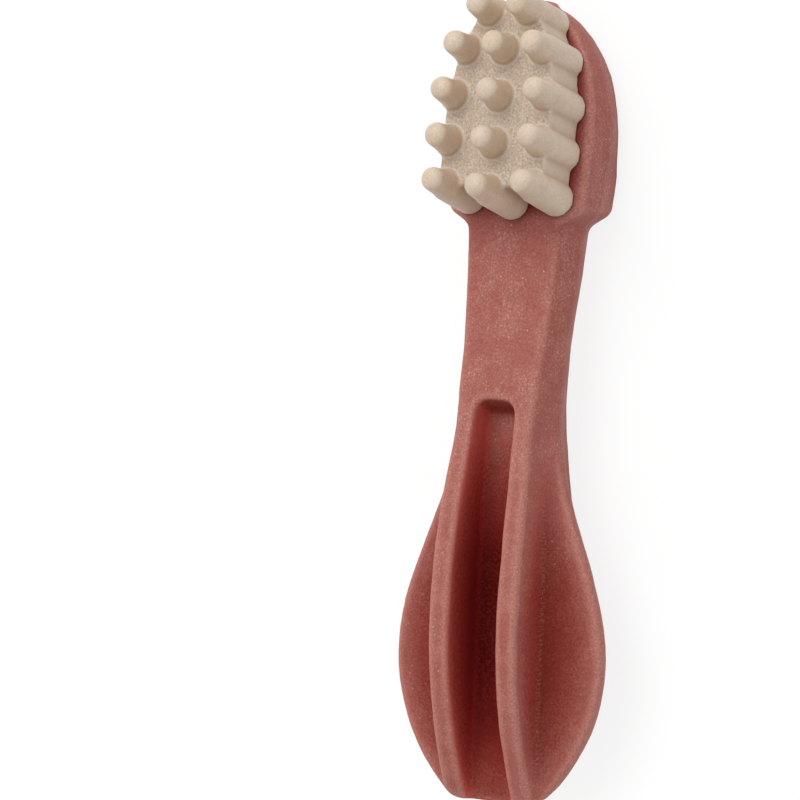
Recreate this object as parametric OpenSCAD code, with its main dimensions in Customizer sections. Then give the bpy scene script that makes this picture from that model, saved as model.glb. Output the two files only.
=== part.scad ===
// Toothbrush-shaped dental chew for a dog.
// One coloured moulding makes the ribbed handle, the neck and the head.
// A cream bristle pad of fourteen nubs is seated in a pocket in the head's face.
// The chew lies on its back: +X runs from the handle's flat end to the tip of the
// head, and +Z is the way the nubs point. The origin is at the middle of its footprint.
// In the functions, x is a distance from the flat end, and heights start at the axis
// of the handle. All sizes are in millimetres.

/* [Overall] */
// Length from the handle's flat end to the tip of the head
total_len = 120; // [90:1:160]
// How far the head's face leans back from the line of the handle, in degrees
head_lean = 9.9; // [6:0.1:12]

/* [Handle bulb] */
// Half of the bulb's width, across its two side fins
bulb_half = 17.1; // [14:0.1:22]
// Distance from the flat end to the widest place of the bulb
bulb_x = 21.8; // [18:0.1:28]
// Height of the front and back ribs at their highest
rib_rise = 10.45; // [8:0.05:13]
// Half of the flat end's width
end_half = 5.6; // [4.5:0.1:8]
// Half of the flat end's depth, front to back
end_rise = 1.9; // [1.5:0.1:3]

/* [Ribs and flutes] */
// Half of the gap between the two ribs of one face
groove_half = 3.8; // [2.5:0.1:5]
// Width of one rib along its crest
rib_w = 3.3; // [2.4:0.1:4.5]
// Half of the web's thickness, between the ribs of the front and those of the back
web_half = 1.1; // [0.8:0.1:1.8]
// Half of a side fin's thickness
fin_half = 1.5; // [1.1:0.1:2.2]
// Distance from the flat end to the round start of the centre groove
groove_top = 61; // [54:0.5:66]
// Length of the ramp that brings the groove down to the web
groove_ramp = 3; // [2:0.5:6]

/* [Neck] */
// Half of the neck's width across its front flat, next to the head
neck_half = 7.3; // [6:0.1:9]
// Half of the neck's width at its parting plane, next to the handle
neck_part_half = 8.0; // [7.5:0.1:11]
// Distance from the flat end to the slimmest place of the neck
neck_x = 62; // [56:0.5:70]
// How far the neck's front dips below a straight line to the head
neck_dip = 0.9; // [0:0.1:1.5]

/* [Head] */
// Distance from the head's shoulders to the row of nubs next to the neck
neck_margin = 1.8; // [1:0.1:4]
// Distance from the first row of nubs to the tip of the head
tip_margin = 2.6; // [1.5:0.1:5]
// Half of the head's width at the shoulders
head_half = 11.5; // [11:0.1:15]
// How much wider the head is at its parting plane than at its face
head_flare = 1.3; // [0.5:0.1:2.5]
// Length of the rounded nose of the head
nose_len = 22; // [16:0.5:24]
// Reach of the rounding along the neck's edges and the head's shoulders
edge_r = 2.6; // [1:0.1:3]
// Reach of the rounding along the nose's edge
nose_edge_r = 1.4; // [0.8:0.1:3]

/* [Bristle pad] */
// Distance between rows of nubs
row_pitch = 7; // [6:0.1:8]
// Height of the pad's floor above the head's face
pad_h = 8.7; // [5:0.1:11]
// Height of a nub above the pad's floor
nub_h = 5.2; // [3:0.1:6.5]
// Radius of a nub where it leaves the pad's floor
nub_base_r = 2.3; // [1.8:0.05:2.6]
// Radius of a nub's rounded tip
nub_tip_r = 1.7; // [1.2:0.05:2]
// Radius of the half columns down the pad's wall
column_r = 2.45; // [2:0.05:2.8]
// Distance from the side of the head in to the outer nubs
nub_inset = 4.1; // [3:0.1:5.5]
// Half of the width of the pad's seat
seat_half = 5.2; // [4:0.1:6]
// How deep the pad is seated in the head
seat_depth = 2; // [1:0.1:4]
// Gap all round the seat of the pad
seat_gap = 0.05; // [0.02:0.01:0.2]
// Draft of the pocket's two end walls, from the face down to the floor
pocket_draft = 0.2; // [0.1:0.05:0.5]

/* [Hidden] */
body_colour = "#A8685E";
pad_colour = "#CDBDA6";

// Places of the middle row of nubs, the head's shoulders and its nose. The head is as
// long as its five rows of nubs and the margins at both ends of them.
middle_row_x = total_len - tip_margin - 2 * row_pitch;
shoulder_x = middle_row_x - 2 * row_pitch - neck_margin;
nose_x = total_len - nose_len;

// Rows of nubs, from the tip's row to the neck's: half the spacing of the outer nubs, as
// a share of the widest row's, and how far those sit back towards the handle. All but the
// first have a middle nub.
row_share = [0.432, 0.838, 1, 1, 0.96];
row_half = [for (share = row_share) share * (head_half - nub_inset)];
row_back = [1.2, 0, -0.15, -0.3, -0.7];
last_row = len(row_half) - 1;
middle_nub_rows = [for (row = [1:last_row]) row];

// Head's face as a line: its height at the middle row of nubs, and its slope.
face_at_row = -0.65;
lean_slope = tan(head_lean);
// Heights of the front and the back where the handle meets the neck.
neck_rise = 5.3;
neck_back = 6.9;
// Lowest line of the head's back, which the chew lies on with the bulb's back ribs.
head_back_drop = 10.9;
// Depth of the head under its face at the tip of the nose.
nose_depth = 4.5;
// The nose is cut this far short of a point, which leaves a small flat at its tip.
tip_flat = 0.3;
// Powers that shape the nose, the bulb's sides and its crests: the rise, then the fall.
nose_power = 2.2;
side_powers = [0.63, 1.2];
crest_powers = [0.85, 0.65];
// The ribs are highest a little nearer to the neck than the fins are widest.
rib_peak_x = bulb_x + 5.5;

// How much narrower the head's face becomes towards the nose.
head_taper = 0.3;
// The pad's pocket starts by the neck's row of nubs. It ends short of the tip's row, or
// sooner where the nose leaves too thin a wall beside it. Its depth is square to the face.
seat_wall = 2.2;
nose_share = (seat_half + seat_gap + seat_wall) / (head_half - head_taper);
wall_limit = nose_x + nose_len * pow(1 - pow(min(1, nose_share), 2), 1 / nose_power);
seat_start = middle_row_x - 2 * row_pitch + 0.5;
seat_end = min(middle_row_x + 1.7 * row_pitch - 0.5, wall_limit);
seat_depth_square = seat_depth * cos(head_lean);
seat_chamfer = 0.35;
// How far a nub's foot is sunk into the pad.
nub_sink = 0.6;

// Shares of their full gap and width that the groove and its two ribs start with.
start_gap = 0.84;
start_width = 0.87;
// How far the edge of a face is drawn in from the parting plane, and a rim from its crown.
edge_inset = 0.6;
crown = 0.25;
// Reach of the rounding at a flute's foot, at a fin's rim, along a rib and in the groove.
foot_reach = 2.2;
rim_reach = 1.4;
rib_reach = 0.8;
floor_reach = 0.9;
pocket_reach = 0.3;
// The groove's wall leans out by this much from the floor to the crest.
groove_draft = 0.35;
// A flute's foot, beside its rib and above its web.
foot_out = 0.9;
foot_up = 0.7;
// Stretches of the curve that rounds one corner, and of a nub's round tip.
corner_steps = 3;
tip_steps = 5;

function clamp01(t) = min(1, max(0, t));
// A smooth step from 0 to 1.
function ease(t) = let(c = clamp01(t)) c * c * (3 - 2 * c);
function mix(a, b, t) = a + (b - a) * t;
// A smooth change from a to b between two places along the chew.
function change(x, from, to, a, b) = mix(a, b, ease((x - from) / (to - from)));

// The swell of the bulb: 0 at the flat end, 1 at the peak, and 0 again at the neck.
function swell(x, peak, powers) =
    x < peak
    ? pow(sin(90 * max(0, x) / peak), powers[0])
    : pow(0.5 + 0.5 * cos(180 * clamp01((x - peak) / (neck_x - peak))), powers[1]);

// Height of the head's face on the middle plane.
function face_z(x) = face_at_row - lean_slope * (x - middle_row_x);

// Front line: the rib's crest, then the neck's front, then the head's face.
function crest_z(x, neck_end) =
    mix(x < rib_peak_x ? end_rise : neck_end, rib_rise, swell(x, rib_peak_x, crest_powers));
function neck_front(x) =
    let(t = clamp01((x - neck_x) / (shoulder_x - neck_x)))
    mix(neck_rise, face_z(shoulder_x), t) - neck_dip * sin(180 * t);
function front_z(x) =
    x < neck_x ? crest_z(x, neck_rise)
    : x < shoulder_x ? neck_front(x)
    : face_z(x);

// Back line: the rib's crest, then the back of the neck and the head, then the nose.
function nose_t(x) = clamp01((x - nose_x) / nose_len);
function head_back(x) =
    mix(change(x, neck_x, nose_x, -neck_back, -head_back_drop), face_z(x) - nose_depth,
        1 - sqrt(1 - pow(nose_t(x), 2)));
function back_z(x) = x < neck_x ? -crest_z(x, neck_back) : head_back(x);

// Height of the parting plane, which leaves the axis towards the neck.
part_run = 20;
function part_z(x) =
    (front_z(x) + back_z(x)) / 2 * (x < neck_x ? ease((x - neck_x + part_run) / part_run) : 1);

// Outline of the head seen square to its face. Its walls stand square to the face too, so a
// place deeper in the head takes the outline from a little further along.
function nose_width(x) =
    sqrt(max(0, 1 - pow(min(nose_t(x), 1 - tip_flat / nose_len), nose_power)));
function head_width(x) =
    (head_half - change(x, shoulder_x, nose_x, 0, head_taper)) * nose_width(x);
function flare(x) =
    head_flare * change(x, shoulder_x, nose_x + 4, 0.05, 1) * pow(nose_width(x), 3);
shoulder_run = 3.4;
function shoulder(x) = ease((x - shoulder_x + shoulder_run / 2) / shoulder_run);

// Half of the gap between the two ribs, a little narrower where the groove starts.
gap_run = 24;
function gap_half(x) = groove_half * mix(start_gap, 1, ease((groove_top - x) / gap_run));
function rib_half(x) =
    (groove_half + rib_w) * mix(start_width, 1, ease((groove_top - x) / gap_run));
// Half of the front flat: the outer edges of the two ribs, then the neck, then the head.
function neck_flat(x) =
    change(x, neck_x, shoulder_x, (groove_half + rib_w) * start_width, neck_half);
function flat_half(x) =
    mix(x < neck_x ? rib_half(x) : neck_flat(x), head_width(x), shoulder(x));
// Half of the width at the parting plane: the fins, then the neck, then the head.
neck_draft = 1.8;
function bulb_part(x) =
    mix(x < bulb_x ? end_half : neck_part_half, bulb_half, swell(x, bulb_x, side_powers));
function neck_part(x) =
    let(
        deep = min(x + lean_slope * (face_z(x) - part_z(x)) * shoulder(x), total_len - tip_flat),
        beside_head = change(x, neck_x, shoulder_x, neck_part_half, neck_half + neck_draft)
    )
    mix(beside_head, head_width(deep) + flare(deep), shoulder(x));
function part_half(x) = x < neck_x ? bulb_part(x) : neck_part(x);

// How far the groove and the side flutes have opened: 0 is closed, 1 is fully open.
flute_run = 16;
flute_lead = 2;
function groove_open(x) = ease((groove_top - x) / groove_ramp);
function flute_open(x) = ease((groove_top + flute_lead - x) / flute_run);
// The round start of the groove, seen from the front: 0 at its top, 1 at full width.
function arch(x) = sqrt(1 - pow(1 - clamp01((groove_top - x) / groove_ramp), 2));
// The pocket in the head's face that the pad is seated in.
function in_pocket(x) = x > seat_start && x < seat_end;

// A corner between three points, rounded as a curve of corner_steps stretches.
function towards(a, b, reach) =
    let(d = norm(b - a)) d == 0 ? a : a + (b - a) * min(reach / d, 0.4);
function rounded(a, b, c, reach) =
    let(p = towards(b, a, reach), q = towards(b, c, reach))
    [for (i = [0:corner_steps])
        let(t = i / corner_steps) p * pow(1 - t, 2) + b * 2 * t * (1 - t) + q * pow(t, 2)];

// Half of the width of what is cut into a face: the groove, or the pocket.
function lip_half(x, face, outer) =
    x < shoulder_x ? gap_half(x) * mix(0.6, 1, arch(x))
    : face && in_pocket(x) ? seat_half + seat_gap
    : face ? min(seat_half + seat_gap, outer * 0.7)
    : outer * 0.5;

// One quarter of a section, from the middle of a face out to the parting plane.
// crest is the height of the face above the parting plane; face is true at the front.
function quarter(x, crest, face) =
    let(
        pocket = in_pocket(x) && face,
        part = part_half(x),
        outer = min(flat_half(x), part - edge_inset),
        lip = lip_half(x, face, outer),
        web = min(web_half, crest * 0.8),
        rim = min(fin_half, crest * 0.7),
        floor_z = pocket ? crest - seat_depth : mix(crest, web, groove_open(x)),
        floor_half = pocket ? lip : mix(lip * 0.6, lip - groove_draft, groove_open(x)),
        // The side is straight where the flutes are closed, and creased where they are open.
        straight = [mix(outer, part - crown, 0.5), mix(crest, rim, 0.5)],
        foot = [min(outer + foot_out, straight[0]), min(web + foot_up, crest * 0.85)],
        crease = straight + (foot - straight) * flute_open(x),
        edge = mix(change(x, shoulder_x, nose_x, edge_r, nose_edge_r), rib_reach, flute_open(x)),
        middle = [0, floor_z],
        floor_edge = [floor_half, floor_z],
        lip_edge = [lip, crest],
        face_edge = [outer, crest],
        rim_edge = [part - crown, rim],
        parting = [part, 0]
    )
    concat(
        [middle],
        rounded(middle, floor_edge, lip_edge, pocket ? pocket_reach : floor_reach),
        rounded(floor_edge, lip_edge, face_edge, pocket ? pocket_reach : rib_reach),
        rounded(lip_edge, face_edge, crease, edge),
        rounded(face_edge, crease, rim_edge, foot_reach),
        rounded(crease, rim_edge, parting, rim_reach),
        [parting]
    );

// A whole section: the right front quarter, then the others as its mirrors.
function ring(x) =
    let(
        mid = part_z(x),
        front = quarter(x, front_z(x) - mid, true),
        back = quarter(x, mid - back_z(x), false),
        n = len(front)
    )
    concat(
        [for (i = [0:n - 1]) [x, front[i][0], mid + front[i][1]]],
        [for (i = [n - 2:-1:0]) [x, back[i][0], mid - back[i][1]]],
        [for (i = [1:n - 1]) [x, -back[i][0], mid - back[i][1]]],
        [for (i = [n - 2:-1:1]) [x, -front[i][0], mid + front[i][1]]]
    );

// Places between two ends, spaced evenly, without the last end.
function between(from, to, steps) = [for (i = [0:steps - 1]) mix(from, to, i / steps)];

// Places of the sections: even along the handle, close together where the form changes fast.
groove_foot = groove_top - groove_ramp;
stations = concat(
    [0, 0.5],
    between(1.5, groove_foot - 1, 28),
    between(groove_foot - 0.4, groove_top + 1, 7),
    between(groove_top + 2, shoulder_x - 2, 4),
    between(shoulder_x - 2, seat_start, 7),
    [seat_start],
    between(seat_start + pocket_draft, nose_x, 2),
    between(nose_x, seat_end - pocket_draft, 6),
    [seat_end - pocket_draft, seat_end],
    [for (a = [60:7.5:82.5]) nose_x + nose_len * sin(a)],
    [total_len]
);

// The lowest line of the back is the height that the axis stands at.
axis_height = max([for (x = stations) -back_z(x)]);

// A flat end of the loft, in upright strips between the front and the back of its ring.
// n is the number of the ring's points, and first is the index of its first point.
function cap(n, first) =
    let(m = n / 4)
    [for (half = [0, 2 * m], i = [0:m - 1])
        let(strip = [half + i, half + i + 1, half + 2 * m - i - 1, (half + 2 * m - i) % n])
        [for (j = i < m - 1 ? [0, 1, 2, 3] : [0, 1, 3]) first + strip[j]]];
function turned(face) = [for (i = [len(face) - 1:-1:0]) face[i]];

// Joins rings of points into one closed skin.
module loft(rings) {
    n = len(rings[0]);
    last = len(rings) - 1;
    side = [for (r = [0:last - 1], i = [0:n - 1])
        let(a = r * n + i, b = r * n + (i + 1) % n)
        each [[a, b, a + n], [b, b + n, a + n]]];
    start_cap = [for (face = cap(n, 0)) turned(face)];
    end_cap = cap(n, last * n);
    polyhedron(points = [for (r = rings) each r], faces = concat(side, start_cap, end_cap));
}

// Stands the chew on its back, with the origin at the middle of its footprint.
module in_place() {
    translate([-total_len / 2, 0, axis_height])
    children();
}

// Puts a child on the head's face: +X to the tip, +Z out of the face, middle row at X 0.
module on_face() {
    translate([middle_row_x, 0, face_at_row])
    rotate([0, head_lean, 0])
    children();
}

function row_x(row) = (2 - row) * row_pitch;
outer_nubs = [for (row = [0:last_row], side = [-1, 1])
    [row_x(row) - row_back[row], side * row_half[row]]];
middle_nubs = [for (row = middle_nub_rows) [row_x(row), 0]];
nubs = concat(outer_nubs, middle_nubs);

// The pad's outline: a core that runs just outside the outer nubs, and a half column
// under every nub on the edge.
core_out = column_r * 0.42;
edge_line = [for (row = [0:last_row]) [row_x(row) - row_back[row], row_half[row] + core_out]];
neck_side = row_x(last_row) - core_out;
module pad_outline() {
    polygon(concat(
        edge_line,
        [[neck_side, row_half[last_row] - 1], [neck_side, 1 - row_half[last_row]]],
        [for (row = [last_row:-1:0]) [edge_line[row][0], -edge_line[row][1]]]
    ));
    for (p = nubs) translate(p) circle(column_r, $fn = 32);
}

// A nub, spun about its own line: a taper with a round tip, sunk into the pad.
module nub() {
    rotate_extrude($fn = 28)
    polygon(concat(
        [[0, -nub_sink], [nub_base_r * 0.9, -nub_sink], [nub_base_r, 0], [nub_base_r - 0.12, 0.5]],
        [for (i = [0:tip_steps])
            let(a = 90 * i / tip_steps)
            [nub_tip_r * cos(a), nub_h - nub_tip_r + nub_tip_r * sin(a)]]
    ));
}

// The pad's seat under its face, with chamfers that clear the pocket's rounded corners.
module seat_block() {
    lead = seat_gap + pocket_draft + seat_depth * sin(head_lean);
    from = (seat_start + lead - middle_row_x) / cos(head_lean);
    to = (seat_end - seat_gap - pocket_draft - middle_row_x) / cos(head_lean);
    translate([from, 0, 0])
    rotate([90, 0, 90])
    linear_extrude(to - from)
    polygon([
        [-seat_half, 1],
        [-seat_half, seat_chamfer - seat_depth_square],
        [seat_chamfer - seat_half, -seat_depth_square],
        [seat_half - seat_chamfer, -seat_depth_square],
        [seat_half, seat_chamfer - seat_depth_square],
        [seat_half, 1]
    ]);
}

module handle_and_head() {
    color(body_colour)
    in_place()
    loft([for (x = stations) ring(x)]);
}

module bristle_pad() {
    color(pad_colour)
    in_place()
    on_face() {
        seat_block();
        linear_extrude(pad_h) pad_outline();
        for (p = nubs) translate([p[0], p[1], pad_h]) nub();
    }
}

handle_and_head();
bristle_pad();
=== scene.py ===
"""Toothbrush-shaped dental chew: finished pieces, finishes and studio over its CAD frame."""
import math

import bpy
import numpy as np
from bpy.props import (
    FloatProperty,
    FloatVectorProperty,
    IntProperty,
    PointerProperty,
    StringProperty,
)
from mathutils import Matrix, Vector
from mathutils.geometry import convex_hull_2d


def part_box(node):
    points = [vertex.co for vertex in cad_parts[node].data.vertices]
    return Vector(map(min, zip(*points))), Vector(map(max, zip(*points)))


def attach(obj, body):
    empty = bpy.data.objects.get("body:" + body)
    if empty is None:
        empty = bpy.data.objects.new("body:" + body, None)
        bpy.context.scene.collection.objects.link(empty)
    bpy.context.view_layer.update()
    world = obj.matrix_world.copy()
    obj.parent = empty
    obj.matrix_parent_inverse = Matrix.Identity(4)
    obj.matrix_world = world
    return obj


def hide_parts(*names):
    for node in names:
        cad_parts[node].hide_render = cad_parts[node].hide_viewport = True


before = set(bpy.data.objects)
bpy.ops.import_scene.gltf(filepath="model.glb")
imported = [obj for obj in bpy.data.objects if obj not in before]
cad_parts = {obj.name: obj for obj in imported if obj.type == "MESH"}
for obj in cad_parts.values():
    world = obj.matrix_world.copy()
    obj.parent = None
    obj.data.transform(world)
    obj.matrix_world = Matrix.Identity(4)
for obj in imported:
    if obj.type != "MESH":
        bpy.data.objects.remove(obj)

bl_info = {
    "name": "Dental Chew",
    "version": (1, 0, 0),
    "blender": (4, 5, 0),
    "location": "View3D > Sidebar > Chew",
    "description": "Models a toothbrush-shaped dental chew and its studio on a packed CAD frame",
    "category": "Object",
}

MM = 0.001
BODY_NODE = "handle_and_head"
PAD_NODE = "bristle_pad"

# The five rows of nubs, from the row at the tip to the row at the neck, in millimetres:
# half the spacing of the outer nubs, how far those sit back, and whether a middle nub stands.
ROWS = (
    (3.2, 1.2, False),
    (6.2, 0.0, True),
    (7.4, -0.15, True),
    (7.4, -0.3, True),
    (7.1, -0.7, True),
)
# The row that the pad is placed by, and how far the pad's core runs out under an outer nub, as
# a share of a column's radius.
MIDDLE_ROW = 2
CORE_SHARE = 0.42

# Width of the slow swells in a moulded skin, and the level of their texture that stays put.
# It is above the middle, so that the skin swells inwards and stays inside the moulding's box.
SWELL_WIDTH = 7 * MM
SWELL_LEVEL = 0.75

# Painted shade in a groove: what is left of the colour's light, from its rim to its full depth.
GROOVE_SHADE_TINTS = (
    (0, (1, 1, 1)),
    (0.25, (0.74, 0.5, 0.47)),
    (0.5, (0.6, 0.24, 0.22)),
    (0.75, (0.42, 0.07, 0.07)),
    (1, (0.24, 0.01, 0.01)),
)

# Sockets of a Mix node that mixes colours. It has others of the same names.
MIX_FACTOR, MIX_UNDER, MIX_OVER, MIX_RESULT = 0, 6, 7, 2


# ---------------------------------------------------------------- settings


class BodySettings(bpy.types.PropertyGroup):
    """Sizes and colours of the coloured moulding."""

    grain: FloatProperty(
        name="Mesh Grain", description="Size of one face of the finished skin",
        default=0.38 * MM, min=0.2 * MM, max=1 * MM, unit="LENGTH", precision=5)
    softening: IntProperty(
        name="Softening", description="Passes that round the moulding's edges",
        default=5, min=0, max=30)
    groove_foot: FloatProperty(
        name="Groove Foot", description="From the middle plane to the foot of a groove's wall",
        default=3.3 * MM, unit="LENGTH", precision=5)
    flute_foot: FloatProperty(
        name="Flute Foot", description="From the middle plane to the foot of a side flute",
        default=8 * MM, unit="LENGTH", precision=5)
    colour: StringProperty(
        name="Colour", description="sRGB hex of the open surfaces", default="#AC665C")
    crest_colour: StringProperty(
        name="Crest Colour", description="sRGB hex where edges are rubbed paler",
        default="#BE8276")
    shade_and_grain_colour: StringProperty(
        name="Hollow Colour", description="sRGB hex down in the grooves", default="#86281F")
    glow_colour: StringProperty(
        name="Glow Colour", description="sRGB hex of the light that passes through a rib",
        default="#DC6A5E")
    deep_glow_colour: StringProperty(
        name="Deep Glow Colour",
        description="Red of the same walls where the groove is deep",
        default="#CB3F44")
    fleck_colour: StringProperty(
        name="Fleck Colour", description="sRGB hex of the starch flecks", default="#E2C2B8")
    fleck_spacing: FloatProperty(
        name="Fleck Spacing", description="Mean distance between starch flecks",
        default=1.1 * MM, unit="LENGTH", precision=5)
    grit: FloatProperty(
        name="Grit", description="Width of the grains in the moulded skin",
        default=0.3 * MM, unit="LENGTH", precision=5)
    unevenness: FloatProperty(
        name="Unevenness", description="How far the moulded skin wanders from its true form",
        default=0.12 * MM, unit="LENGTH", precision=5)


class PadSettings(bpy.types.PropertyGroup):
    """Sizes and colours of the cream pad with its nubs."""

    grain: FloatProperty(
        name="Mesh Grain", description="Size of one face of the finished skin",
        default=0.24 * MM, min=0.15 * MM, max=1 * MM, unit="LENGTH", precision=5)
    softening: IntProperty(
        name="Softening", description="Passes that blend the nubs into the pad",
        default=5, min=0, max=30)
    from_tip: FloatProperty(
        name="From Tip", description="From the head's tip back to the middle row of nubs",
        default=16.6 * MM, unit="LENGTH", precision=5)
    face_height: FloatProperty(
        name="Face Height", description="Height of the head's face under the middle nub",
        default=10.25 * MM, unit="LENGTH", precision=5)
    face_lean: FloatProperty(
        name="Face Lean", description="How far the head's face leans back",
        default=math.radians(9.9), unit="ROTATION")
    row_pitch: FloatProperty(
        name="Row Pitch", description="Distance between rows of nubs",
        default=7 * MM, unit="LENGTH", precision=5)
    wall: FloatProperty(
        name="Wall", description="Height of the pad's floor above the head's face",
        default=8.7 * MM, unit="LENGTH", precision=5)
    nub_height: FloatProperty(
        name="Nub Height", description="Height of a nub above the pad's floor",
        default=5.2 * MM, unit="LENGTH", precision=5)
    nub_foot: FloatProperty(
        name="Nub Foot", description="Radius of a nub where it leaves the floor",
        default=2.3 * MM, unit="LENGTH", precision=5)
    nub_tip: FloatProperty(
        name="Nub Tip", description="Radius of a nub's round tip",
        default=1.8 * MM, unit="LENGTH", precision=5)
    column: FloatProperty(
        name="Column", description="Radius of the half columns at the top of the pad's wall",
        default=2.35 * MM, unit="LENGTH", precision=5)
    unevenness: FloatProperty(
        name="Unevenness", description="How far the moulded skin wanders from its true form",
        default=0.06 * MM, unit="LENGTH", precision=5)
    wall_spread: FloatProperty(
        name="Wall Spread", description="How far the wall between the columns leans out",
        default=0.6 * MM, unit="LENGTH", precision=5)
    column_spread: FloatProperty(
        name="Column Spread", description="How much wider the half columns are at the face",
        default=0.3 * MM, unit="LENGTH", precision=5)
    colour: StringProperty(
        name="Colour", description="sRGB hex of the cream moulding", default="#E0CEB9")
    tip_colour: StringProperty(
        name="Tip Colour", description="sRGB hex of the rubbed tips", default="#DFD0BE")
    shade_and_grain_colour: StringProperty(
        name="Hollow Colour", description="sRGB hex at the feet of the nubs", default="#C0A082")
    flash_colour: StringProperty(
        name="Flash Colour", description="sRGB hex of the thin flash and the floor's glints",
        default="#F2E8DC")
    grain_colour: StringProperty(
        name="Grain Colour", description="sRGB hex of the grit in the pad's floor",
        default="#B29A8C")


class StageSettings(bpy.types.PropertyGroup):
    """The floor, the lamps and the camera."""

    floor_colour: StringProperty(
        name="Floor", description="sRGB hex of the floor", default="#F4F4F4")
    key_strength: FloatProperty(
        name="Key Strength", description="Strength of the key lamp", default=1.55)
    key_softness: FloatProperty(
        name="Key Softness", description="Angle of the sky that the key lamp fills",
        default=math.radians(38), unit="ROTATION")
    room_strength: FloatProperty(
        name="Room Strength", description="Strength of the light from the white room",
        default=0.55)
    aim: FloatVectorProperty(
        name="Aim", description="Point that the camera looks at", size=3,
        default=(-0.7 * MM, 18.7 * MM, 10.9 * MM), unit="LENGTH", precision=5)
    azimuth: FloatProperty(
        name="Azimuth", description="Camera's place round the chew",
        default=math.radians(6.44), unit="ROTATION")
    elevation: FloatProperty(
        name="Elevation", description="Camera's height as an angle",
        default=math.radians(61.53), unit="ROTATION")
    roll: FloatProperty(
        name="Roll", description="Turn that stands the handle upright in the frame",
        default=math.radians(-93.48), unit="ROTATION")
    distance: FloatProperty(
        name="Distance", description="From the camera to its aim",
        default=396 * MM, unit="LENGTH")
    lens: FloatProperty(
        name="Lens", description="Focal length", default=117, subtype="DISTANCE_CAMERA")


# ---------------------------------------------------------------- modelling helpers


def clear_selection():
    """Leaves nothing selected, so that an operator acts only on what it is given."""
    bpy.ops.object.select_all(action="DESELECT")


def activate(piece):
    """Selects one object alone and makes it the active one."""
    clear_selection()
    piece.select_set(True)
    bpy.context.view_layer.objects.active = piece


def select_points(piece, test):
    """In edit mode, selects the points of a mesh that pass a test on their place."""
    bpy.ops.mesh.select_all(action="DESELECT")
    bpy.ops.object.mode_set(mode="OBJECT")
    for point in piece.data.vertices:
        point.select = test(point.co)
    bpy.ops.object.mode_set(mode="EDIT")


def place(piece, matrix):
    """Moves a mesh itself, so that its object stays at the origin."""
    piece.data.transform(matrix)
    piece.data.update()


def copied(piece, spot):
    """A copy of a piece with its own mesh, moved to another spot."""
    copy = piece.copy()
    copy.data = piece.data.copy()
    bpy.context.scene.collection.objects.link(copy)
    place(copy, Matrix.Translation(spot))
    return copy


def finished_skin(piece, grain, softening, unevenness):
    """Fuses a piece into one even skin and rounds it as a soft moulding is rounded."""
    activate(piece)
    clouds = bpy.data.textures.new("slow_swell", "CLOUDS")
    clouds.noise_scale = SWELL_WIDTH
    fuse = piece.modifiers.new("Fuse", "REMESH")
    fuse.mode = "VOXEL"
    fuse.voxel_size = grain
    soften = piece.modifiers.new("Soften", "SMOOTH")
    soften.factor = 0.5
    soften.iterations = softening
    swell = piece.modifiers.new("Swell", "DISPLACE")
    swell.texture = clouds
    swell.texture_coords = "LOCAL"
    swell.strength = 2 * unevenness
    swell.mid_level = SWELL_LEVEL
    for modifier in [fuse.name, soften.name, swell.name]:
        bpy.ops.object.modifier_apply(modifier=modifier)
    bpy.ops.object.shade_smooth()


def points_of(mesh):
    """The places of a mesh's points, as rows of three numbers."""
    flat = np.empty(len(mesh.vertices) * 3)
    mesh.vertices.foreach_get("co", flat)
    return flat.reshape(-1, 3)


def normals_of(mesh):
    """The outward normals at a mesh's points, as rows of three numbers."""
    flat = np.empty(len(mesh.vertices) * 3)
    mesh.vertices.foreach_get("normal", flat)
    return flat.reshape(-1, 3)


def store(mesh, name, values):
    """Keeps one number for each point, where the materials can read it by name."""
    layer = mesh.attributes.new(name, "FLOAT", "POINT")
    layer.data.foreach_set("value", np.ascontiguousarray(values, dtype=np.float32))


def averaged(mesh, values, passes):
    """Values at a mesh's points, one row a point, each pass mixed half with its neighbours'."""
    ends = np.empty(len(mesh.edges) * 2, dtype=np.int64)
    mesh.edges.foreach_get("vertices", ends)
    first, second = ends.reshape(-1, 2).T
    count = len(mesh.vertices)
    neighbours = np.bincount(ends, minlength=count)
    soft = values.copy()
    for _ in range(passes):
        total = np.empty_like(soft)
        for column in range(soft.shape[1]):
            total[:, column] = np.bincount(first, soft[second, column], count)
            total[:, column] += np.bincount(second, soft[first, column], count)
        soft = 0.5 * soft + 0.5 * total / neighbours[:, None]
    return soft


def hollowness(mesh, passes, full):
    """How deep each point lies in a hollow: 1 at depth full or more, below 0 on a crest."""
    start = points_of(mesh)
    depth = ((averaged(mesh, start, passes) - start) * normals_of(mesh)).sum(axis=1)
    return np.clip(depth / full, -1, 1)


def groove_depth(mesh, slice_width):
    """How far each point lies inside a tight wrap round its own slice across the handle."""
    spots = points_of(mesh)
    slices = np.floor(spots[:, 0] / slice_width).astype(int)
    depth = np.zeros((len(spots), 1))
    for number in np.unique(slices):
        here = np.flatnonzero(slices == number)
        section = spots[here, 1:]
        wrap = section[convex_hull_2d([tuple(spot) for spot in section])]
        gaps = []
        for start, end in zip(wrap, np.roll(wrap, -1, axis=0)):
            along = (end - start) / np.linalg.norm(end - start)
            away = section - start
            gaps.append(np.abs(away[:, 1] * along[0] - away[:, 0] * along[1]))
        depth[here, 0] = np.min(gaps, axis=0)
    return averaged(mesh, depth, passes=12)[:, 0]


# ---------------------------------------------------------------- materials


def linear(hex_colour):
    """Turns an sRGB hex colour into the linear one that a shader socket takes."""
    parts = [int(hex_colour[i:i + 2], 16) / 255 for i in (1, 3, 5)]
    return [c / 12.92 if c <= 0.04045 else ((c + 0.055) / 1.055) ** 2.4 for c in parts] + [1]


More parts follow.
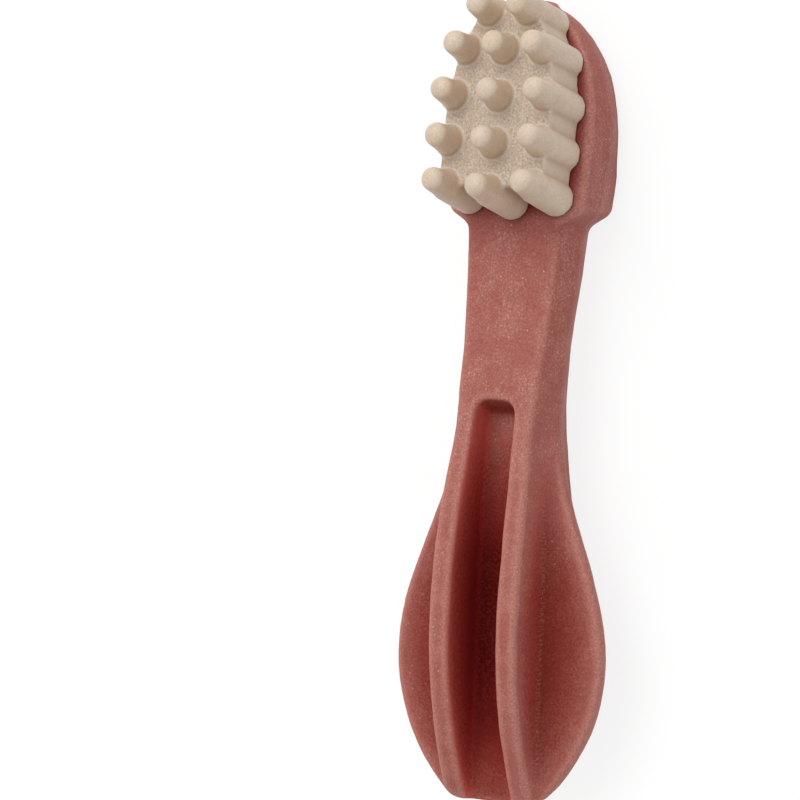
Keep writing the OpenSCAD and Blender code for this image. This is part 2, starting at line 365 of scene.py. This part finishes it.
def add_node(tree, kind, inputs=None, **settings):
    """Adds a node with its settings; inputs gives each socket a value or another's output."""
    node = tree.nodes.new(kind)
    for name, value in settings.items():
        setattr(node, name, value)
    for name, value in (inputs or {}).items():
        if isinstance(value, bpy.types.NodeSocket):
            tree.links.new(value, node.inputs[name])
        else:
            node.inputs[name].default_value = value
    return node


def new_material(name):
    """An empty node material, ready for its shader."""
    material = bpy.data.materials.new(name)
    material.use_nodes = True
    material.node_tree.nodes.clear()
    return material, material.node_tree


def per_size(size):
    """Scale of a pattern on coordinates in metres whose cells are this wide."""
    return 1 / size


def red_starch_material(settings):
    """Moulded vegetable starch coloured red: waxy and matt, a little see-through.

    Light sinks in and comes back redder, rubbed edges are paler, and fine flecks of
    uncoloured starch show all over it. The mould leaves a fine grit in the skin. Shade is
    painted into the grooves, the ripples' troughs and along the pad's foot, a glow onto the
    groove's walls, and a highlight along the edges as well as their wear.
    """
    material, tree = new_material("moulded_starch_red")
    coords = add_node(tree, "ShaderNodeTexCoord").outputs["Object"]
    fields = {}
    for mark in ("fold", "edge_wear_and_highlight", "groove", "cut_lines", "glow"):
        fields[mark] = add_node(
            tree, "ShaderNodeAttribute", attribute_name=mark).outputs["Fac"]
    # The clouds and the slow waves are some millimetres wide. The ripples, which stiff dough
    # gets where it is drawn along a mould, are under one. So is the grit, which is drawn
    # coarser than the real one, so that it shows.
    for name, width, detail, more in (
            ("clouds", 5 * MM, 3.0, {"Roughness": 0.55}),
            ("grit", settings.grit, 3.0, {"Roughness": 0.6}),
            ("waves", 2.2 * MM, 2.0, {}),
            ("ripples", 0.4 * MM, 2.0, {"Distortion": 0.8})):
        fields[name] = add_node(tree, "ShaderNodeTexNoise", {
            "Vector": coords, "Scale": per_size(width), "Detail": detail, **more}).outputs["Fac"]
    fields["lines"] = add_node(tree, "ShaderNodeTexWave", {
        "Vector": coords, "Scale": per_size(0.36 * MM) / math.tau, "Distortion": 9.0,
        "Detail": 3.0, "Detail Scale": 3.0}, bands_direction="X").outputs["Fac"]
    fields["along"] = add_node(
        tree, "ShaderNodeSeparateXYZ", {"Vector": coords}).outputs["X"]
    fields["open_sky"] = add_node(
        tree, "ShaderNodeAmbientOcclusion", {"Distance": 3.5 * MM}, samples=8).outputs["AO"]
    # Flecks are small round spots at scattered cell centres, only in some of the cells.
    cells = add_node(tree, "ShaderNodeTexVoronoi", {
        "Vector": coords, "Scale": per_size(settings.fleck_spacing), "Randomness": 1.0})
    fields["from_centre"] = cells.outputs["Distance"]
    fields["chance"] = add_node(
        tree, "ShaderNodeSeparateColor", {"Color": cells.outputs["Color"]}).outputs[0]

    # Each mask is a range of one field, from low to high, turned into another range.
    for name, field, low, high, new_low, new_high in (
            ("open_face", "fold", -0.9, -0.4, 0.1, 1.0),
            ("clouded", "clouds", 0.42, 0.64, 0.0, 0.4),
            ("rubbed", "edge_wear_and_highlight", 0.2, 0.8, 0.0, 0.9),
            ("dark_grit", "grit", 0.35, 0.55, 0.35, 0.0),
            ("pale_grit", "grit", 0.55, 0.7, 0.0, 0.42),
            ("patchy", "clouds", 0.35, 0.65, 0.15, 1.0),
            ("off_bulb", "along", -14 * MM, 0.0, 0.5, 1.0),
            ("close_in", "open_sky", 0.8, 0.35, 0.0, 1.0),
            ("by_head", "along", 5 * MM, 20 * MM, 0.0, 1.0),
            ("spot", "from_centre", 0.08, 0.17, 1.0, 0.0),
            ("chosen", "chance", 0.45, 0.95, 0.0, 1.0),
            ("in_flute", "groove", 0.02, 0.25, 0.0, 1.0),
            ("trough", "ripples", 0.55, 0.4, 0.0, 0.5),
            ("foot", "cut_lines", 0.5, 0.9, 0.0, 1.0),
            ("grit_matt", "grit", 0.3, 0.7, 0.5, 0.64),
            ("groove_matt", "groove", 0.05, 0.4, 0.5, 0.95)):
        fields[name] = add_node(tree, "ShaderNodeMapRange", {
            "Value": fields[field], "From Min": low, "From Max": high,
            "To Min": new_low, "To Max": new_high}, clamp=True).outputs["Result"]
    # The bulb is less frosted than the neck. On the head and the neck, shade is painted dark
    # red along the foot of the pad. The walls of the groove get a painted glow, for the light
    # that passes through the ribs.
    for name, first, *factors in (
            ("frost", "pale_grit", "patchy", "off_bulb"),
            ("pad_foot_shade", "close_in", "by_head"),
            ("fleck", "spot", "chosen", 0.5),
            ("painted_glow", "glow", 0.8),
            ("painted_deep_glow", "glow", "groove", 0.18),
            ("drawn", "ripples", "in_flute"),
            # Shade is painted into the troughs of the ripples in the flutes.
            ("ripple_trough_shade", "in_flute", "trough"),
            ("notches", "lines", "foot")):
        fields[name] = fields[first]
        for factor in factors:
            fields[name] = add_node(tree, "ShaderNodeMath", {
                0: fields[name], 1: fields.get(factor, factor)},
                operation="MULTIPLY").outputs[0]
    fields["pale_notch"] = add_node(tree, "ShaderNodeMapRange", {
        "Value": fields["notches"], "From Min": 0.4, "From Max": 1.0,
        "To Min": 0.0, "To Max": 0.3}, clamp=True).outputs["Result"]
    # Depth: shade is painted into the grooves, darker and redder down each one, for the light
    # that comes back out of a groove through more of the red starch.
    depth = add_node(tree, "ShaderNodeValToRGB", {"Fac": fields["groove"]})
    stops = depth.color_ramp.elements
    for number, (at, share) in enumerate(GROOVE_SHADE_TINTS):
        stop = stops[number] if number < 2 else stops.new(at)
        stop.position = at
        stop.color = (*share, 1)

    # Colour: each coat goes over the ones before it, as far as its mask lets it.
    base, crest, hollow, fleck, glow, deep_glow = (linear(tone) for tone in (
        settings.colour, settings.crest_colour, settings.shade_and_grain_colour,
        settings.fleck_colour, settings.glow_colour, settings.deep_glow_colour))
    fields["all"] = 1.0
    # The coats start from the crest colour, so crests and edges are paler, partly rubbed and
    # partly a painted highlight.
    colour = crest
    for mask, coat, mode in (
            ("open_face", base, "MIX"), ("clouded", crest, "MIX"), ("rubbed", crest, "MIX"),
            ("dark_grit", hollow, "MIX"), ("frost", fleck, "MIX"), ("pad_foot_shade", hollow, "MIX"),
            ("fleck", fleck, "MIX"), ("painted_glow", glow, "MIX"),
            ("all", depth.outputs["Color"], "MULTIPLY"), ("painted_deep_glow", deep_glow, "MIX"),
            ("ripple_trough_shade", hollow, "MIX"), ("pale_notch", crest, "MIX")):
        colour = add_node(tree, "ShaderNodeMix", {
            MIX_FACTOR: fields[mask], MIX_UNDER: colour, MIX_OVER: coat},
            data_type="RGBA", blend_type=mode).outputs[MIX_RESULT]

    # Skin: slow waves, then the ripples, the cutter's fine lines and the grit on top of them.
    relief = {}
    for field, strength, height in (
            ("waves", 0.5, 0.12 * MM), ("drawn", 1.0, 0.25 * MM),
            ("notches", 0.8, 0.14 * MM), ("grit", 0.7, 0.05 * MM)):
        relief = {"Normal": add_node(tree, "ShaderNodeBump", {
            "Height": fields[field], "Strength": strength, "Distance": height,
            **relief}).outputs[0]}
    matt = add_node(tree, "ShaderNodeMath", {
        0: fields["grit_matt"], 1: fields["groove_matt"]}, operation="MAXIMUM").outputs[0]
    shader = add_node(tree, "ShaderNodeBsdfPrincipled", {
        "Base Color": colour, "Roughness": matt, "IOR": 1.47, "Specular IOR Level": 0.2,
        "Subsurface Weight": 0.3, "Subsurface Radius": (1.0, 0.22, 0.16),
        "Subsurface Scale": 2.2 * MM, **relief})
    add_node(tree, "ShaderNodeOutputMaterial", {"Surface": shader.outputs[0]})
    return material


def cream_starch_material(settings):
    """Uncoloured moulded vegetable starch: waxy cream that light sinks into.

    Its shaded sides turn a warm tan, and tan shade is painted into the hollows at the feet
    of the nubs. The floor between the nubs is rough, with a sandy grain, and a thin pale
    line of flash runs round the foot of each nub.
    """
    material, tree = new_material("moulded_starch_cream")
    coords = add_node(tree, "ShaderNodeTexCoord").outputs["Object"]
    fields = {}
    for mark in ("hollow", "rough_floor", "flash", "tip"):
        fields[mark] = add_node(
            tree, "ShaderNodeAttribute", attribute_name=mark).outputs["Fac"]
    # The sand, too, is drawn a little coarser than the real grain, so that it shows.
    for name, width, detail, roughness in (
            ("clouds", 2.5 * MM, 3.0, 0.55), ("sand", 0.3 * MM, 4.0, 0.7)):
        fields[name] = add_node(tree, "ShaderNodeTexNoise", {
            "Vector": coords, "Scale": per_size(width), "Detail": detail,
            "Roughness": roughness}).outputs["Fac"]

    # Each mask is a range of one field, from low to high, turned into another range.
    for name, field, low, high, new_low, new_high in (
            ("low", "hollow", 0.0, 0.65, 0.0, 1.0),
            ("off_floor", "rough_floor", 0.0, 1.0, 1.0, 0.0),
            ("mottle", "sand", 0.62, 0.4, 0.25, 1.0),
            ("clouded", "clouds", 0.35, 0.7, 0.0, 0.22),
            ("sandy", "sand", 0.42, 0.62, 0.0, 0.35),
            ("dark_grain", "sand", 0.52, 0.64, 0.0, 0.45),
            ("pale_grain", "sand", 0.48, 0.36, 0.0, 0.9)):
        fields[name] = add_node(tree, "ShaderNodeMapRange", {
            "Value": fields[field], "From Min": low, "From Max": high,
            "To Min": new_low, "To Max": new_high}, clamp=True).outputs["Result"]
    for name, first, second, operation in (
            # The shaded mask paints tan shade into the hollows at the nubs' feet.
            ("shaded", "low", "off_floor", "MULTIPLY"),
            ("worn", "tip", "mottle", "MULTIPLY"),
            ("floor_grit", "dark_grain", "rough_floor", "MULTIPLY"),
            ("glint", "pale_grain", "rough_floor", "MULTIPLY"),
            ("flash_line", "flash", 0.8, "MULTIPLY"),
            ("bright", "glint", "flash_line", "MAXIMUM"),
            ("floor_sand", "sand", "rough_floor", "MULTIPLY")):
        fields[name] = add_node(tree, "ShaderNodeMath", {
            0: fields[first], 1: fields.get(second, second)}, operation=operation).outputs[0]

    # Colour: each coat goes over the ones before it, as far as its mask lets it.
    colour = linear(settings.colour)
    for mask, coat in (
            ("shaded", settings.shade_and_grain_colour), ("worn", settings.tip_colour),
            ("clouded", settings.shade_and_grain_colour), ("sandy", settings.shade_and_grain_colour),
            ("floor_grit", settings.grain_colour), ("bright", settings.flash_colour)):
        colour = add_node(tree, "ShaderNodeMix", {
            MIX_FACTOR: fields[mask], MIX_UNDER: colour, MIX_OVER: linear(coat)},
            data_type="RGBA").outputs[MIX_RESULT]

    relief = {}
    for field, strength, height in (("floor_sand", 1.0, 0.3 * MM), ("sand", 0.35, 0.05 * MM)):
        relief = {"Normal": add_node(tree, "ShaderNodeBump", {
            "Height": fields[field], "Strength": strength, "Distance": height,
            **relief}).outputs[0]}
    shader = add_node(tree, "ShaderNodeBsdfPrincipled", {
        "Base Color": colour, "Roughness": 0.48, "IOR": 1.47,
        "Subsurface Weight": 0.35, "Subsurface Radius": (1.0, 0.6, 0.35),
        "Subsurface Scale": 1.8 * MM, **relief})
    add_node(tree, "ShaderNodeOutputMaterial", {"Surface": shader.outputs[0]})
    return material


def floor_material(hex_colour):
    """Seamless white paper: matt, and mostly plain white to the camera under a faint shadow."""
    material, tree = new_material("white_paper")
    rays = add_node(tree, "ShaderNodeLightPath").outputs
    seen = rays["Is Camera Ray"]
    for ray in ("Is Glossy Ray", "Is Transmission Ray"):
        seen = add_node(
            tree, "ShaderNodeMath", {0: seen, 1: rays[ray]}, operation="MAXIMUM").outputs[0]
    white_share = add_node(tree, "ShaderNodeMath", {0: seen, 1: 0.8}, operation="MULTIPLY")
    paper = add_node(tree, "ShaderNodeBsdfDiffuse", {"Color": linear(hex_colour)})
    white = add_node(tree, "ShaderNodeEmission", {"Color": (1, 1, 1, 1), "Strength": 1.05})
    both = add_node(tree, "ShaderNodeMixShader", {
        0: white_share.outputs[0], 1: paper.outputs[0], 2: white.outputs[0]})
    add_node(tree, "ShaderNodeOutputMaterial", {"Surface": both.outputs[0]})
    return material


# ---------------------------------------------------------------- pieces


class CHEW_OT_body(bpy.types.Operator):
    """Makes the coloured moulding of the handle, the neck and the head"""

    bl_idname = "chew.body"
    bl_label = "Coloured Moulding"

    def execute(self, context):
        settings = context.scene.chew_body
        clear_selection()
        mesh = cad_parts[BODY_NODE].data.copy()
        mesh.materials.clear()
        body = bpy.data.objects.new("coloured_moulding", mesh)
        context.scene.collection.objects.link(body)
        # The CAD mesh is loose triangles, which are merged at their corners first.
        activate(body)
        bpy.ops.object.mode_set(mode="EDIT")
        bpy.ops.mesh.select_all(action="SELECT")
        bpy.ops.mesh.remove_doubles(threshold=0.001 * MM)
        bpy.ops.object.mode_set(mode="OBJECT")
        finished_skin(body, settings.grain, settings.softening, settings.unevenness)
        self.mark_surface(body.data, settings)
        body.data.materials.append(red_starch_material(settings))
        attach(body, "root")
        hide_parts(BODY_NODE)
        return {"FINISHED"}

    def mark_surface(self, mesh, settings):
        """Stores where the skin is folded, its edges for the paler colour and painted highlight,
        how deep its grooves are as painted shade, where cut lines show and where a painted glow
        lies.
        """
        store(mesh, "fold", hollowness(mesh, passes=60, full=0.55 * MM))
        # Edges are paler, partly from rubbing and partly as a painted highlight.
        store(mesh, "edge_wear_and_highlight", -hollowness(mesh, passes=8, full=0.09 * MM))
        spots, facing = points_of(mesh), normals_of(mesh)
        along, across = spots[:, 0], np.abs(spots[:, 1])
        in_groove = across < settings.groove_foot + 1 * MM
        depth = groove_depth(mesh, slice_width=1 * MM)
        # Light reaches the groove's floor near its round start, by the neck. The start's own
        # wall faces the flat end, so it lies in its own shade.
        full_depth, light_run, start_shade = 9 * MM, 21 * MM, 0.33
        dim = np.clip((-2 * MM - along) / light_run, 0.08, 1)
        start = np.clip(-1.6 * facing[:, 0] - 0.6, 0, 1) * np.clip(depth / (0.6 * MM), 0, 1)
        start *= in_groove
        start *= along > -4 * MM
        store(mesh, "groove", np.maximum(dim * depth / full_depth, start_shade * start))
        # The cutter that made the mould left fine lines across the feet of its walls. The
        # ribs draw in a little towards the neck, and the feet of the flutes with them.
        flute_band, groove_band = 0.9 * MM, 1.8 * MM
        drawn_in = np.interp(along, (-23 * MM, 1 * MM), (1, 0.87))
        in_handle = np.clip((0.5 * MM - along) / (3 * MM), 0, 1)
        flute = 1 - np.abs(across / drawn_in - settings.flute_foot) / flute_band
        groove = 0.6 - np.abs(across / drawn_in - settings.groove_foot + 0.7 * MM) / groove_band
        deep = np.clip(depth / (1 * MM) - 0.5, 0, 1)
        store(mesh, "cut_lines", np.clip(np.maximum(flute, groove), 0, 1) * deep * in_handle)
        # The upright walls of the ribs get a painted glow, most of all in the groove, and soon
        # below its rim.
        upright = np.sqrt(np.clip(1 - facing[:, 2] ** 2, 0, 1))
        wall = np.clip(1.6 * upright - 0.5, 0, 1)
        on_rib = np.clip((settings.flute_foot + 0.5 * MM - across) / (1 * MM), 0, 1)
        share = np.where(in_groove, 1, 0.6)
        below = np.clip(depth / np.where(in_groove, 1.2 * MM, 3 * MM), 0, 1) * (1 - start)
        store(mesh, "glow", share * wall * on_rib * below)


class CHEW_OT_pad(bpy.types.Operator):
    """Makes the cream pad with its fourteen nubs and its scalloped wall"""

    bl_idname = "chew.pad"
    bl_label = "Cream Pad"

    def execute(self, context):
        settings = context.scene.chew_pad
        clear_selection()
        nub, column = self.nub(settings), self.column(settings)
        parts = [self.core(settings)]
        for spot, on_edge in self.nub_spots(settings):
            parts.append(copied(nub, spot))
            if on_edge:
                parts.append(copied(column, spot))
        for model in (nub, column):
            bpy.data.objects.remove(model)
        pad = self.joined(parts)
        finished_skin(pad, settings.grain, settings.softening, settings.unevenness)
        self.mark_surface(pad.data, settings)
        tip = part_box(BODY_NODE)[1][0]
        place(pad, Matrix.Translation((tip - settings.from_tip, 0, settings.face_height))
              @ Matrix.Rotation(settings.face_lean, 4, "Y"))
        pad.data.materials.append(cream_starch_material(settings))
        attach(pad, "root")
        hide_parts(PAD_NODE)
        return {"FINISHED"}

    def nub_spots(self, settings):
        """Each nub's place on the face, and whether it stands on the pad's edge."""
        spots = []
        for row, (half, back, middle) in enumerate(ROWS):
            x = (MIDDLE_ROW - row) * settings.row_pitch
            for side in (-1, 1):
                spots.append((Vector((x - back * MM, side * half * MM, 0)), True))
            if middle:
                spots.append((Vector((x, 0, 0)), row == len(ROWS) - 1))
        return spots

    def core(self, settings):
        """The slab between the outer nubs: a strip of cells, drawn to each row's width."""
        out = settings.column * CORE_SHARE + settings.wall_spread
        gaps = len(ROWS) - 1
        bpy.ops.mesh.primitive_grid_add(
            x_subdivisions=gaps, y_subdivisions=1, size=gaps * settings.row_pitch)
        core = bpy.context.object
        for point in core.data.vertices:
            row = round(MIDDLE_ROW - point.co.x / settings.row_pitch)
            half, back, _ = ROWS[row]
            side = 1 if point.co.y > 0 else -1
            point.co.x = (MIDDLE_ROW - row) * settings.row_pitch - back * MM
            point.co.y = side * (half * MM + out)
        activate(core)
        bpy.ops.object.mode_set(mode="EDIT")
        bpy.ops.mesh.select_all(action="SELECT")
        bpy.ops.mesh.extrude_region_move(
            TRANSFORM_OT_translate={"value": (0, 0, settings.wall)})
        wide = core.dimensions.y
        bpy.ops.transform.resize(value=(1, (wide - 2 * settings.wall_spread) / wide, 1))
        bpy.ops.mesh.select_all(action="SELECT")
        bpy.ops.mesh.normals_make_consistent(inside=False)
        bpy.ops.object.mode_set(mode="OBJECT")
        return core

    def nub(self, settings):
        """One nub: a flattened dome, whose rim is drawn down and out, and into the pad."""
        dome = 0.65 * settings.nub_tip
        skirt, sink = 0.5 * MM, 0.8 * MM
        shoulder = settings.wall + settings.nub_height - dome
        bpy.ops.mesh.primitive_uv_sphere_add(
            segments=32, ring_count=16, radius=settings.nub_tip,
            location=(0, 0, shoulder), scale=(1, 1, dome / settings.nub_tip))
        nub = bpy.context.object
        bpy.ops.object.transform_apply(location=True, rotation=True, scale=True)
        bpy.ops.object.mode_set(mode="EDIT")
        bpy.ops.mesh.select_all(action="SELECT")
        bpy.ops.mesh.bisect(plane_co=(0, 0, shoulder), plane_no=(0, 0, 1), clear_inner=True)
        near = 0.02 * MM
        width = settings.nub_tip
        for drop, radius in ((settings.nub_height - dome - skirt, settings.nub_foot - 0.15 * MM),
                             (skirt, settings.nub_foot),
                             (sink, settings.nub_foot)):
            select_points(nub, lambda co: co.z < shoulder + near)
            shoulder -= drop
            bpy.ops.mesh.extrude_region_move(
                TRANSFORM_OT_translate={"value": (0, 0, -drop)})
            bpy.ops.transform.resize(value=(radius / width, radius / width, 1),
                                     center_override=(0, 0, shoulder))
            width = radius
        bpy.ops.mesh.edge_face_add()
        bpy.ops.mesh.select_all(action="SELECT")
        bpy.ops.mesh.normals_make_consistent(inside=False)
        bpy.ops.object.mode_set(mode="OBJECT")
        return nub

    def column(self, settings):
        """A half column down the pad's wall, to stand under each nub on its edge."""
        bpy.ops.mesh.primitive_cone_add(
            vertices=40, radius1=settings.column + settings.column_spread,
            radius2=settings.column, depth=settings.wall, location=(0, 0, settings.wall / 2))
        column = bpy.context.object
        bpy.ops.object.transform_apply(location=True, rotation=True, scale=True)
        return column

    def joined(self, parts):
        """All parts as one object, ready to be fused."""
        clear_selection()
        for part in parts:
            part.select_set(True)
        bpy.context.view_layer.objects.active = parts[0]
        bpy.ops.object.join()
        pad = bpy.context.object
        pad.name = "cream_pad"
        return pad

    def mark_surface(self, mesh, settings):
        """Stores the hollows for the painted shade, the rough floor, the flash round each nub and
        the worn tips.
        """
        store(mesh, "hollow", hollowness(mesh, passes=50, full=0.45 * MM))
        points = points_of(mesh)
        height, upward = points[:, 2], normals_of(mesh)[:, 2]
        floor_band, flash_gap, flash_band, tip_cap = 0.35 * MM, 0.3 * MM, 0.22 * MM, 1.1 * MM
        level = 1 - np.clip(np.abs(height - settings.wall) / floor_band - 0.4, 0, 1)
        store(mesh, "rough_floor", level * np.clip((upward - 0.75) / 0.2, 0, 1))
        flash = np.zeros(len(points))
        for spot, _ in self.nub_spots(settings):
            away = np.hypot(points[:, 0] - spot.x, points[:, 1] - spot.y)
            ring = 1 - np.abs(away - settings.nub_foot - flash_gap) / flash_band
            flash = np.maximum(flash, np.clip(ring, 0, 1))
        store(mesh, "flash", flash * level)
        top = settings.wall + settings.nub_height
        store(mesh, "tip", np.clip((height - top + tip_cap) / (1 * MM), 0, 1))


class CHEW_OT_stage(bpy.types.Operator):
    """Makes the floor, the lamps, the surroundings and the camera"""

    bl_idname = "chew.stage"
    bl_label = "Stage"

    def execute(self, context):
        settings = context.scene.chew_stage
        self.floor(settings)
        self.lamps(context, settings)
        self.camera(context, settings)
        context.scene.view_settings.view_transform = "Standard"
        return {"FINISHED"}

    def floor(self, settings):
        """A wide sheet of white paper under the chew."""
        clear_selection()
        bpy.ops.mesh.primitive_plane_add(size=6, location=(0, 0, 0))
        floor = bpy.context.object
        floor.name = "paper_floor"
        floor.data.materials.append(floor_material(settings.floor_colour))

    def lamps(self, context, settings):
        """A broad soft key over the head's end, and an even white room round it."""
        bpy.ops.object.light_add(type="SUN", location=(0.3, 0.1, 0.6))
        key = bpy.context.object
        key.name = "key_lamp"
        key.data.energy = settings.key_strength
        key.data.angle = settings.key_softness
        towards = Vector((0.62, 0.2, 1.0))
        key.rotation_euler = towards.to_track_quat("Z", "Y").to_euler()
        world = bpy.data.worlds.new("white_room")
        world.use_nodes = True
        tree = world.node_tree
        tree.nodes.clear()
        # The camera sees the room as plain white, whatever its strength as a light.
        seen = add_node(tree, "ShaderNodeLightPath").outputs["Is Camera Ray"]
        strength = add_node(tree, "ShaderNodeMapRange", {
            "Value": seen, "From Min": 0, "From Max": 1,
            "To Min": settings.room_strength, "To Max": 1.0}, clamp=True).outputs["Result"]
        room = add_node(tree, "ShaderNodeBackground", {
            "Color": (1, 1, 1, 1), "Strength": strength})
        add_node(tree, "ShaderNodeOutputWorld", {"Surface": room.outputs[0]})
        context.scene.world = world

    def camera(self, context, settings):
        """The camera, set by its aim, its place round the chew and its roll."""
        bpy.ops.object.camera_add()
        camera = bpy.context.object
        camera.name = "camera"
        azimuth, elevation = settings.azimuth, settings.elevation
        back = Vector((math.sin(azimuth) * math.cos(elevation),
                       -math.cos(azimuth) * math.cos(elevation),
                       math.sin(elevation)))
        level = Vector((math.cos(azimuth), math.sin(azimuth), 0))
        up = back.cross(level)
        turn = Matrix((level, up, back)).transposed().to_4x4()
        camera.matrix_world = (Matrix.Translation(Vector(settings.aim) + settings.distance * back)
                               @ turn @ Matrix.Rotation(settings.roll, 4, "Z"))
        camera.data.lens = settings.lens
        camera.data.sensor_width = 36
        camera.data.clip_start = 0.01
        context.scene.camera = camera


class CHEW_PT_panel(bpy.types.Panel):
    """Lists the steps that make the chew"""

    bl_label = "Dental Chew"
    bl_idname = "CHEW_PT_panel"
    bl_space_type = "VIEW_3D"
    bl_region_type = "UI"
    bl_category = "Chew"

    def draw(self, context):
        for step, settings in STEPS:
            box = self.layout.box()
            box.operator(step.bl_idname)
            group = getattr(context.scene, settings)
            for name in group.__annotations__:
                box.prop(group, name)


STEPS = (
    (CHEW_OT_body, "chew_body"),
    (CHEW_OT_pad, "chew_pad"),
    (CHEW_OT_stage, "chew_stage"),
)
SETTINGS = (
    ("chew_body", BodySettings),
    ("chew_pad", PadSettings),
    ("chew_stage", StageSettings),
)
CLASSES = [group for _, group in SETTINGS] + [step for step, _ in STEPS] + [CHEW_PT_panel]


def register():
    for item in CLASSES:
        bpy.utils.register_class(item)
    for name, group in SETTINGS:
        setattr(bpy.types.Scene, name, PointerProperty(type=group))


def unregister():
    for name, _ in SETTINGS:
        delattr(bpy.types.Scene, name)
    for item in reversed(CLASSES):
        bpy.utils.unregister_class(item)


def main():
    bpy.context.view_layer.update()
    register()
    bpy.ops.chew.body()
    bpy.ops.chew.pad()
    bpy.ops.chew.stage()
    bpy.context.view_layer.update()


if __name__ == "__main__":
    main()
